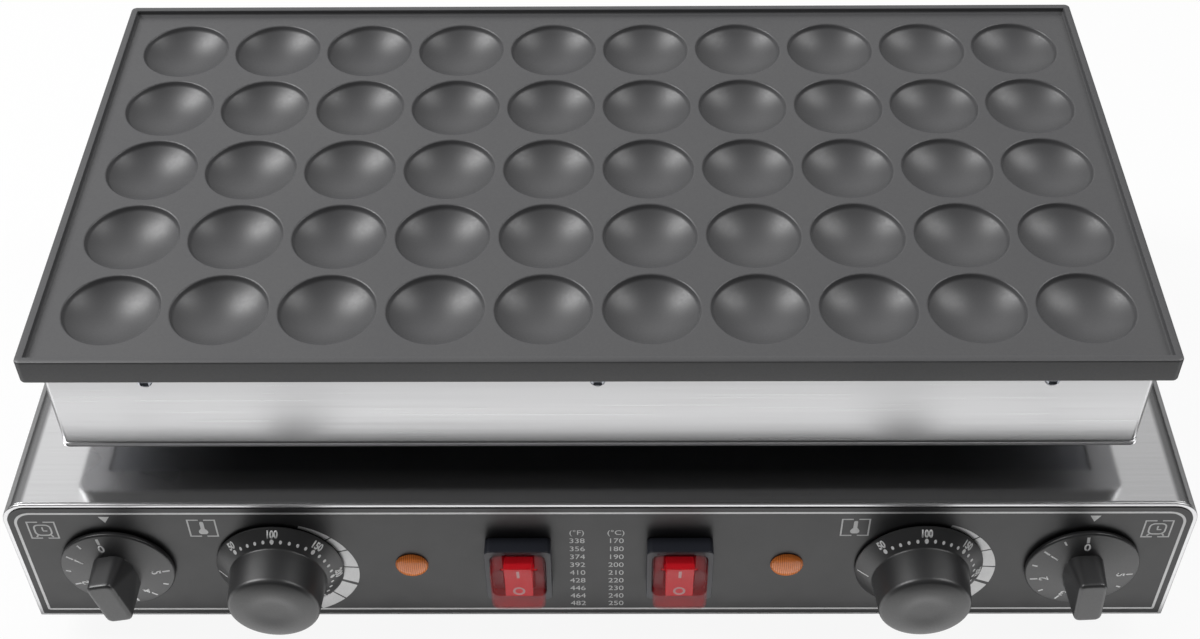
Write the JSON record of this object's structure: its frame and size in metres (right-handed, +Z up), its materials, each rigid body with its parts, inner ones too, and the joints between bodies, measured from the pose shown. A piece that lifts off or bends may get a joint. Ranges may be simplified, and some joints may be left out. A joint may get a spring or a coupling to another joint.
{
  "type": "mini pancake grill",
  "caption": "Countertop grill for mini pancakes: a cast plate of shallow round cups on a heating box above a wide steel base with turning timers, thermostats, rocker switches and lamps.",
  "frame": {"origin": "on the table, under the middle of the whole part's box", "axes": "+X to the user's right along the control panel, +Y to the back, +Z up"},
  "size_m": [0.5672, 0.3594, 0.1873],
  "materials": {
    "coated_cast_aluminium": "matte dark non-stick coat",
    "stainless_sheet": "fine brushed, polished base",
    "zinc_steel": "zinc plated",
    "galvanised_sheet": "dull galvanised",
    "mineral_board": "matte fibre board",
    "element_sheath": "oxidised",
    "copper_tube": "bright drawn",
    "foot_rubber": "matte",
    "black_plastic": "fine satin",
    "panel_film": "gloss dark grey with pale print",
    "red_plastic": "gloss",
    "red_boot": "clear red",
    "amber_lens": "clear amber",
    "white_plastic": "matte",
    "wire_sleeve": "woven heat sleeve"
  },
  "bodies": {
    "grill_body": {"baking_plate": "coated_cast_aluminium", "upper_housing": "stainless_sheet", "base_shell": "stainless_sheet", "control_panel": "stainless_sheet", "rear_panel": "stainless_sheet", "support_posts": "stainless_sheet", "wire_conduits": "stainless_sheet", "housing_pan": "galvanised_sheet", "bottom_cover": "galvanised_sheet", "clamp_bars": "galvanised_sheet", "housing_screws": "zinc_steel", "pan_screws": "zinc_steel", "clamp_studs": "zinc_steel", "clamp_nuts": "zinc_steel", "post_bolts": "zinc_steel", "post_nuts": "zinc_steel", "cover_screws": "zinc_steel", "rear_screws": "zinc_steel", "foot_screws": "zinc_steel", "foot_nuts": "zinc_steel", "bushing_nuts": "zinc_steel", "insulation_board": "mineral_board", "feet": "foot_rubber", "panel_overlay": "panel_film", "terminal_block": "white_plastic", "wire_looms": "wire_sleeve", "cable_gland": "black_plastic", "gland_nut": "black_plastic", "heating_element_left": "element_sheath", "heating_element_right": "element_sheath", "sensor_left": "copper_tube", "sensor_right": "copper_tube", "timer_left": "white_plastic", "timer_right": "white_plastic", "thermostat_left": "galvanised_sheet", "thermostat_right": "galvanised_sheet", "switch_frame_left": "black_plastic", "switch_frame_right": "black_plastic", "switch_boot_left": "red_boot", "switch_boot_right": "red_boot", "lamp_lens_left": "amber_lens", "lamp_lens_right": "amber_lens", "lamp_holder_left": "white_plastic", "lamp_holder_right": "white_plastic"},
    "timer_dial_left": {"timer_knob_left": "black_plastic", "timer_shaft_left": "zinc_steel"},
    "temperature_dial_left": {"temperature_knob_left": "black_plastic", "thermostat_shaft_left": "zinc_steel"},
    "rocker_left": {"switch_rocker_left": "red_plastic"},
    "timer_dial_right": {"timer_knob_right": "black_plastic", "timer_shaft_right": "zinc_steel"},
    "temperature_dial_right": {"temperature_knob_right": "black_plastic", "thermostat_shaft_right": "zinc_steel"},
    "rocker_right": {"switch_rocker_right": "red_plastic"}
  },
  "joints": [
    {"name": "timer_turn_left", "type": "hinge", "parent": "grill_body", "child": "timer_dial_left", "pos_m": [-0.2349, -0.1513, 0.061], "axis": [0, 1, 0], "range_deg": [0, 258]},
    {"name": "temperature_turn_left", "type": "hinge", "parent": "grill_body", "child": "temperature_dial_left", "pos_m": [-0.1557, -0.1513, 0.061], "axis": [0, 1, 0], "range_deg": [-152, 92]},
    {"name": "rocker_tilt_left", "type": "hinge", "parent": "grill_body", "child": "rocker_left", "pos_m": [-0.039, -0.1548, 0.063], "axis": [-1, 0, 0], "range_deg": [0, 14]},
    {"name": "timer_turn_right", "type": "hinge", "parent": "grill_body", "child": "timer_dial_right", "pos_m": [0.2349, -0.1513, 0.061], "axis": [0, 1, 0], "range_deg": [0, 258]},
    {"name": "temperature_turn_right", "type": "hinge", "parent": "grill_body", "child": "temperature_dial_right", "pos_m": [0.1557, -0.1513, 0.061], "axis": [0, 1, 0], "range_deg": [-152, 92]},
    {"name": "rocker_tilt_right", "type": "hinge", "parent": "grill_body", "child": "rocker_right", "pos_m": [0.039, -0.1548, 0.063], "axis": [-1, 0, 0], "range_deg": [0, 14]}
  ]
}
